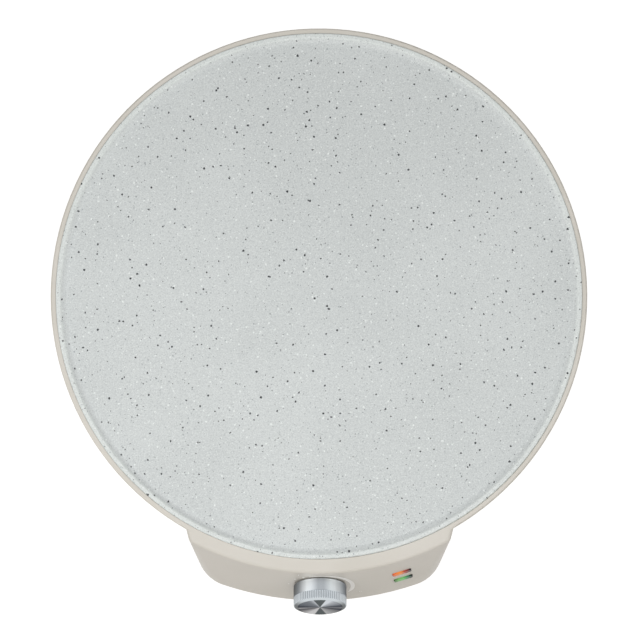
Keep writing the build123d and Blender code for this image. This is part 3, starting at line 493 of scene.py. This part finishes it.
band_start = -24.0
band_end = 130.0
band_segments = 77
band_radius = 17.1 * mm               # at its thin end, and how far it swings out from there
band_swing = 5.0 * mm
band_half = 0.50 * mm                 # half its width there, and what the swell adds
band_swell = 0.78 * mm
swell_end = 0.75
swell_power = 1.4
tip_length = 0.10                     # the share of its length that tapers to the tip
tip_width = 0.20
dots = ((-88.0, 19.3, 0.60), (-57.0, 18.6, 0.75), (-36.0, 17.7, 0.90))
dot_segments = 20
number_size = 4.0 * mm

dial_print = bmesh.new()
band = bmesh.ops.create_grid(dial_print, x_segments=band_segments, y_segments=2, size=1.0)
for vert in band["verts"]:
    share = (vert.co.x + 1.0) / 2
    swell = math.sin(min(share / swell_end, 1.0) * math.pi / 2) ** swell_power
    half = (band_half + band_swell * swell) * min(1.0, (1.0 - share) / tip_length + tip_width)
    radius = band_radius + band_swing * share * share + half * vert.co.y
    vert.co = on_panel(*round_knob(band_start + (band_end - band_start) * share, radius))
for degrees, radius, dot_radius in dots:
    dot = bmesh.ops.create_circle(
        dial_print, cap_ends=True, segments=dot_segments, radius=dot_radius * mm
    )
    lay(dot["verts"], *round_knob(degrees, radius * mm))


def number(text, across, up):
    """A printed number as a flat mesh, laid on the panel."""
    font = bpy.data.curves.new("number", "FONT")
    font.body = text
    font.size = number_size
    font.align_x = "CENTER"
    font.align_y = "CENTER"
    written = bpy.data.objects.new("number", font)
    flat = bpy.data.meshes.new_from_object(written)
    bpy.data.objects.remove(written)
    before = set(dial_print.verts)
    dial_print.from_mesh(flat)
    lay(set(dial_print.verts) - before, across, up)


number("1", -13.6 * mm, 17.4 * mm)
number("6", 24.3 * mm, -15.8 * mm)
dial_print.normal_update()
for face in dial_print.faces:
    if face.normal.dot(knob_out) < 0:
        face.normal_flip()


def build(name, shape, body, made):
    """The mesh becomes a piece that rides on a body and takes its finish from a slot."""
    data = bpy.data.meshes.new(name)
    shape.to_mesh(data)
    shape.free()
    data.materials.append(made)
    data.shade_flat()
    piece = link(name, data)
    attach(piece, body)
    return piece


build("dial_print", dial_print, "root", ink.owner)


# ---------------------------------------------------------------------------------------------
# Knob: a shell turned from aluminium bar. The barrel is brushed around, the front band has a
# straight knurl, and the face inside a wide chamfer is spun in fine rings.
# ---------------------------------------------------------------------------------------------
knob_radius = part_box("knob_cap")[1].x
knob_back = 0.6 * mm
knob_front = 14.0 * mm
shell_wall = 1.5 * mm
face_wall = 2.0 * mm
mouth_bevel = 0.2 * mm
rear_bevel = 0.25 * mm
neck = ((0.45, 0.0), (0.35, 0.15), (0.15, 0.15))  # turned behind the knurl: mm from it, mm deep
knurl_start = 8.4 * mm
knurl_count = 72
knurl_depth = 0.34 * mm
knurl_run_out = 0.3 * mm
steps_to_ridge = 3
face_radius = 13.7 * mm
face_chamfer = 1.0 * mm
bevel_back = 0.15 * mm                # small bevel between the knurl and the chamfer
bevel_depth = 0.12 * mm
groove_width = 0.35 * mm
groove_depth = 0.2 * mm
ring_pitch = 0.5 * mm
ring_depth = 0.02 * mm
hair = 0.01 * mm

bore = knob_radius - shell_wall
groove_bottom = knob_radius - knurl_depth
chamfer_back = knob_front - face_chamfer
profile = [
    (0.0, knob_front - face_wall),
    (bore, knob_front - face_wall),
    (bore, knob_back + mouth_bevel),
    (bore + mouth_bevel, knob_back),
    (knob_radius - rear_bevel, knob_back),
    (knob_radius, knob_back + rear_bevel),
    *((knob_radius - deep * mm, knurl_start - behind * mm) for behind, deep in neck),
    (knob_radius, knurl_start),
    (knob_radius, knurl_start + knurl_run_out),
    (knob_radius, chamfer_back - bevel_back),
    (knob_radius - bevel_depth, chamfer_back),
    (face_radius, knob_front),
    (face_radius - 0.1 * groove_width, knob_front - groove_depth),
    (face_radius - 0.9 * groove_width, knob_front - groove_depth),
    (face_radius - groove_width, knob_front),
]
ring = face_radius - groove_width
while ring > 1.2 * ring_pitch:
    profile.append((ring - ring_pitch / 2, knob_front - ring_depth))
    profile.append((ring - ring_pitch, knob_front))
    ring -= ring_pitch
profile.append((0.0, knob_front - ring_depth))

knob = bmesh.new()
chain = [knob.verts.new((radius, 0.0, along)) for radius, along in profile]
edges = [knob.edges.new(pair) for pair in zip(chain, chain[1:])]
bmesh.ops.spin(
    knob,
    geom=chain + edges,
    cent=(0, 0, 0),
    axis=(0, 0, 1),
    angle=2 * math.pi,
    steps=steps_to_ridge * knurl_count,
    use_merge=True,
)
bmesh.ops.remove_doubles(knob, verts=knob.verts, dist=0.1 * hair)
for vert in knob.verts:
    out = math.hypot(vert.co.x, vert.co.y)
    in_knurl = knurl_start + hair < vert.co.z < chamfer_back + hair
    if in_knurl and out > groove_bottom:
        turned_by = math.atan2(vert.co.y, vert.co.x) / (2 * math.pi)
        if round(turned_by * steps_to_ridge * knurl_count) % steps_to_ridge == 0:
            vert.co.x *= groove_bottom / out
            vert.co.y *= groove_bottom / out
bmesh.ops.recalc_face_normals(knob, faces=knob.faces)
knob_up = Vector((0, math.sin(panel_tilt), math.cos(panel_tilt)))
knob_right = Vector((1, 0, 0))
knob_place = Matrix.Translation(knob_seat) @ Matrix(
    (knob_right, knob_up, knob_out)
).transposed().to_4x4()
bmesh.ops.transform(knob, matrix=knob_place, verts=knob.verts)

turning_grain = 0.15 * mm
turning_depth = 0.006 * mm
stain_size = 6 * mm
turned = finish("turned_aluminium")
place = turned.place()

# Where a point lies: along the axis, to the right, up the face, and how far out from the axis
from_seat = turned.vector("SUBTRACT", place, tuple(knob_seat))
along = turned.vector("DOT_PRODUCT", from_seat, tuple(knob_out))
level = turned.vector("DOT_PRODUCT", from_seat, tuple(knob_right))
rise = turned.vector("DOT_PRODUCT", from_seat, tuple(knob_up))
out = turned.calc("SQRT", level * level + rise * rise) + 0.1 * hair

# Turning marks are fine rings about the axis, and stains lie across them
turning = turned.node("ShaderNodeCombineXYZ", None, {0: out, 1: along}).outputs[0]
turning = turned.noise(turning, turning_grain, detail=3.0)
stain = turned.noise(place, stain_size, detail=3.0)

# Brushed barrel: painted sheen of its brushing in two bright bands that run along it, and painted
# shade at both edges
barrel_sheen_stops = [
    (0.00, colour(120, 123, 126)),
    (0.10, colour(150, 155, 160)),
    (0.17, colour(202, 207, 211)),
    (0.25, colour(229, 234, 237)),
    (0.33, colour(222, 227, 231)),
    (0.46, colour(172, 177, 182)),
    (0.57, colour(172, 177, 182)),
    (0.70, colour(208, 214, 217)),
    (0.78, colour(214, 219, 223)),
    (0.86, colour(198, 204, 209)),
    (0.94, colour(162, 169, 177)),
    (1.00, colour(130, 135, 141)),
]
side = 0.5 + 0.5 * (level / out)
barrel_sheen = turned.node("ShaderNodeValToRGB", {"stops": barrel_sheen_stops}, {0: side}).outputs[0]

# Knurl: painted shade in the grooves; the ridges lighter, in two tones that follow the stains
ridge_dull = colour(196, 203, 208)
ridge_bright = colour(216, 221, 224)
knurl_groove_shade = colour(160, 166, 172)
bearing = turned.calc("ARCTAN2", level, rise)
ridge = turned.fade(turned.calc("COSINE", bearing * knurl_count), -0.9, 0.3)
knurl = turned.blend(ridge, knurl_groove_shade, turned.blend(stain, ridge_dull, ridge_bright))
in_front_band = turned.fade(along, knurl_start - knurl_run_out, knurl_start)
tint = turned.blend(in_front_band, barrel_sheen, knurl)

# Chamfer: painted highlight at the top, painted shade down both sides
chamfer_shade = colour(116, 119, 121)
chamfer_highlight = colour(206, 213, 217)
chamfer = turned.blend(turned.fade(rise / knob_radius, 0.1, 0.8), chamfer_shade, chamfer_highlight)
on_chamfer = turned.fade(along, chamfer_back, chamfer_back + 0.3 * face_chamfer)
tint = turned.blend(on_chamfer, tint, chamfer)

# Spun face: painted reflection of its fine rings, light above and below, grey at the sides, and
# brighter in its upper half
steep = turned.calc("ABSOLUTE", rise / out)
upper = turned.fade(rise, -1.0 * mm, 1.0 * mm)
spun_side_shade = turned.blend(upper, colour(110, 108, 110), colour(96, 102, 112))
spun_highlight = turned.blend(upper, colour(192, 192, 193), colour(214, 219, 225))
upper_highlight = turned.fade(steep, 0.12, 0.88)
lower_highlight = turned.fade(steep, 0.35, 0.98)
highlight_share = lower_highlight + upper * (upper_highlight - lower_highlight)
spun_face_sheen = turned.blend(highlight_share, spun_side_shade, spun_highlight)


def fan(middle, half_width, soft):
    """Mask of a sector of the face, its middle measured clockwise from the top, in degrees."""
    toward = math.radians(middle)
    lean = (level * math.sin(toward) + rise * math.cos(toward)) / out
    outer = math.cos(math.radians(half_width + soft))
    inner = math.cos(math.radians(max(half_width - soft, 0.0)))
    return turned.fade(lean, outer, inner)


# Painted reflection on the face: shaded and lighter sectors, dark streaks at both sides and two
# dark wedges at the top and the bottom
face_shade = colour(84, 90, 98)
face_streak_shade = colour(56, 62, 72)
face_wedge_reflection = colour(82, 89, 91)
for strength, sector, shade in (
    (0.85, fan(-52.0, 26.0, 16.0), face_shade),
    (0.42, fan(54.0, 14.0, 12.0), face_shade),
    (0.35, fan(138.0, 18.0, 14.0), face_shade),
    (0.50, fan(-152.0, 10.0, 8.0), colour(214, 214, 216)),
    (0.80, fan(-97.0, 1.0, 3.0), colour(206, 206, 208)),
    (0.50, fan(95.0, 1.5, 3.0), colour(190, 191, 194)),
):
    spun_face_sheen = turned.blend(strength * sector, spun_face_sheen, shade)
streaks = turned.either(
    fan(-84.0, 9.0, 4.0),
    0.4 * fan(-110.0, 6.0, 5.0),
    0.8 * fan(82.0, 9.0, 5.0),
    fan(107.0, 6.0, 5.0),
)
spun_face_sheen = turned.blend(streaks, spun_face_sheen, face_streak_shade)
spun_face_sheen = turned.blend(
    turned.either(fan(-1.0, 16.0, 1.5), fan(178.5, 15.5, 2.0)), spun_face_sheen, face_wedge_reflection
)
on_face = (along > knob_front - 0.3 * mm) * (out < face_radius)
tint = turned.blend(on_face, tint, spun_face_sheen)
tint = turned.blend(0.2 * turned.fade(turning, 0.5, 0.8), tint, colour(84, 87, 90))
turned.surface(
    {
        "Base Color": tint,
        "Metallic": 1.0,
        "Specular Tint": (0.6, 0.6, 0.6),
        "Roughness": 0.30 + 0.10 * turning + 0.05 * stain,
        "Normal": turned.bump(turning, turning_depth),
    }
)
knob_piece = build("knob_shell", knob, "knob", turned.owner)
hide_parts("knob_cap")


# ---------------------------------------------------------------------------------------------
# Indicator windows: clear tinted lenses pressed into the panel from behind. Each has its lamp's
# light painted into its colour and glow:
# bright towards one side, falling to black where the lens meets its dark surround.
# ---------------------------------------------------------------------------------------------
lens_length = 12.0 * mm
lens_painted_glow = 0.3
lens_fleck = 0.5 * mm
rib_pitch = 0.6 * mm
rib_depth = 0.01 * mm


def window(name, piece, stops):
    """Tinted lens with its lamp's light painted in as a colour and glow that run along its length,
    with fine diffusing ribs behind the face.
    """
    low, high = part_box(piece)
    middle = (low + high) / 2
    bearing = math.atan2(middle.x, plate_axis.y - middle.y)
    sideways = (math.cos(bearing), math.sin(bearing), 0.0)
    made = finish(name)
    place = made.place()
    run = made.vector("DOT_PRODUCT", made.vector("SUBTRACT", place, tuple(middle)), sideways)
    fleck = made.noise(place, lens_fleck)
    share = run / lens_length + 0.5 + 0.06 * (fleck - 0.5)
    tint = made.node("ShaderNodeValToRGB", {"stops": stops}, {0: share}).outputs[0]
    ribs = made.calc("SINE", run * (2 * math.pi / rib_pitch))
    made.surface(
        {
            "Base Color": tint,
            "Roughness": 0.12 + 0.05 * fleck,
            "Emission Color": tint,
            "Emission Strength": lens_painted_glow,
            "Specular IOR Level": 0.15,
            "Normal": made.bump(ribs, rib_depth),
        }
    )
    dress(made.owner, piece)


orange_glow_stops = [
    (0.00, colour(150, 62, 34)),
    (0.14, colour(214, 98, 38)),
    (0.36, colour(224, 128, 44)),
    (0.50, colour(212, 124, 56)),
    (0.68, colour(160, 54, 42)),
    (0.88, colour(92, 34, 34)),
    (0.98, colour(26, 24, 26)),
]
green_glow_stops = [
    (0.00, colour(34, 50, 34)),
    (0.12, colour(74, 118, 58)),
    (0.26, colour(104, 160, 86)),
    (0.52, colour(96, 176, 94)),
    (0.76, colour(46, 116, 78)),
    (0.94, colour(12, 20, 20)),
]
window("orange_window", "orange_lens", orange_glow_stops)
window("green_window", "green_lens", green_glow_stops)


# ---------------------------------------------------------------------------------------------
# Base: a darker moulded tray with cooling slots, screwed up into the housing, on four feet
# moulded in soft elastomer whose stems snap through the tray. The cord's bush is rubber too.
# ---------------------------------------------------------------------------------------------
def rubber(name, light, dark, rough):
    return moulded(name, light, dark, rough, grain=0.5 * mm, depth=0.03 * mm)


dress(
    moulded("tray_plastic", colour(190, 186, 176), colour(184, 180, 170), rough=0.46),
    "base_tray",
)
dress(rubber("foot_rubber", colour(92, 92, 90), colour(84, 84, 82), rough=0.62), "feet")
dress(
    rubber("bush_rubber", colour(44, 44, 45), colour(38, 38, 39), rough=0.5),
    "cord_inlet_bush",
)


# ---------------------------------------------------------------------------------------------
# Metalwork under the plate and behind the panel: pressed, drawn, plated and rolled parts that
# are held by screws or clamped.
# ---------------------------------------------------------------------------------------------
metal_stain = 9 * mm
metal_depth = 0.008 * mm


def metal(name, light, dark, rough, stretch=(1.0, 1.0, 1.0), grain=0.5 * mm):
    """Bare or plated metal: fine marks stretched along the way it was worked, and faint stains."""
    made = finish(name)
    place = made.place()
    marks = made.noise(made.vector("MULTIPLY", place, stretch), grain, detail=3.0)
    stain = made.noise(place, metal_stain)
    return made.surface(
        {
            "Base Color": made.blend(0.5 * marks + 0.5 * stain, light, dark),
            "Metallic": 1.0,
            "Roughness": rough + 0.12 * marks + 0.08 * stain,
            "Normal": made.bump(marks, metal_depth),
        }
    )


along_length = (1.0, 1.0, 0.2)
along_roll = (0.1, 1.0, 1.0)
dress(
    metal("oxidised_sheath", colour(98, 94, 90), colour(70, 66, 62), rough=0.42, grain=1.2 * mm),
    "heating_element",
)
dress(
    metal("tab_brass", colour(214, 184, 116), colour(196, 164, 96), 0.26, along_length),
    "element_tabs",
    "earth_tag",
    "thermostat_tabs",
)
dress(
    metal("turned_brass", colour(210, 184, 122), colour(198, 170, 108), rough=0.24),
    "thermostat_neck",
)
dress(
    metal("zinc_plate", colour(188, 190, 192), colour(168, 170, 174), rough=0.34),
    "element_clamps",
    "thermostat_nut",
    "bulb_straps",
    "fuse_clip",
)
dress(
    metal("screw_steel", colour(176, 177, 178), colour(150, 151, 153), rough=0.30),
    "clamp_screws",
    "plate_screws",
    "earth_screw",
    "base_screws",
    "lamp_screws",
    "terminal_screws",
    "knob_clip",
    "thermostat_spindle",
)
dress(
    metal("rolled_sheet", colour(222, 224, 226), colour(206, 208, 211), 0.16, along_roll),
    "heat_reflector",
)
dress(
    metal("drawn_copper", colour(206, 138, 104), colour(178, 108, 78), rough=0.28),
    "sensor_bulb",
    "capillary_tube",
)
dress(
    metal("fuse_case", colour(196, 188, 170), colour(182, 173, 154), rough=0.3),
    "thermal_fuse",
)


# ---------------------------------------------------------------------------------------------
# Insulating parts: steatite beads, the control's phenolic case, lamp holder, knob core, terminal
# block and the lamps' glass.
# ---------------------------------------------------------------------------------------------
ceramic_grain = 0.4 * mm
ceramic_depth = 0.03 * mm
dress(
    moulded(
        "steatite", colour(232, 228, 214), colour(222, 217, 202), 0.6, ceramic_grain, ceramic_depth
    ),
    "element_beads",
)
dress(
    moulded("control_case", colour(214, 211, 202), colour(204, 200, 190), rough=0.5),
    "thermostat_body",
)
dress(
    moulded("dark_moulding", colour(60, 60, 61), colour(52, 52, 53), rough=0.48),
    "lamp_holder",
    "knob_core",
)
dress(
    moulded("block_moulding", colour(232, 230, 222), colour(224, 221, 212), rough=0.42),
    "terminal_block",
)

swirl_size = 1.5 * mm
swirl_depth = 0.01 * mm
glass = finish("lamp_glass")
swirl = glass.noise(glass.place(), swirl_size)
glass.surface(
    {
        "Base Color": glass.blend(swirl, colour(246, 214, 186), colour(240, 196, 160)),
        "Roughness": 0.06 + 0.05 * swirl,
        "Transmission Weight": 0.6,
        "Normal": glass.bump(swirl, swirl_depth),
    }
)
dress(glass.owner, "neon_lamps")


# ---------------------------------------------------------------------------------------------
# Wiring: stranded leads in soft insulation, the earth lead green with a yellow stripe that
# winds round it.
# ---------------------------------------------------------------------------------------------
lead_grain = 0.6 * mm
lead_depth = 0.02 * mm
lead_clouds = 12 * mm
stripe_pitch = 9 * mm
stripe_slant = 0.8


def insulation(name, light, dark):
    return moulded(name, light, dark, 0.5, lead_grain, lead_depth, lead_clouds)


dress(insulation("brown_insulation", colour(112, 74, 50), colour(100, 64, 42)), "live_lead")
dress(insulation("blue_insulation", colour(62, 98, 158), colour(52, 86, 144)), "neutral_lead")
dress(
    insulation("black_insulation", colour(48, 48, 49), colour(40, 40, 41)),
    "switched_lead",
    "fuse_lead",
)
dress(insulation("white_insulation", colour(230, 229, 224), colour(220, 218, 212)), "lamp_leads")

earth = finish("earth_insulation")
place = earth.place()
across, along, up = earth.parts(place)
winding = (along + stripe_slant * across + stripe_slant * up) * (2 * math.pi / stripe_pitch)
stripe = earth.fade(earth.calc("SINE", winding), 0.25, 0.45)
skin = earth.noise(place, lead_grain)
earth.surface(
    {
        "Base Color": earth.blend(stripe, colour(84, 148, 66), colour(232, 208, 62)),
        "Roughness": 0.45 + 0.1 * skin,
        "Normal": earth.bump(skin, lead_depth),
    }
)
dress(earth.owner, "earth_lead")
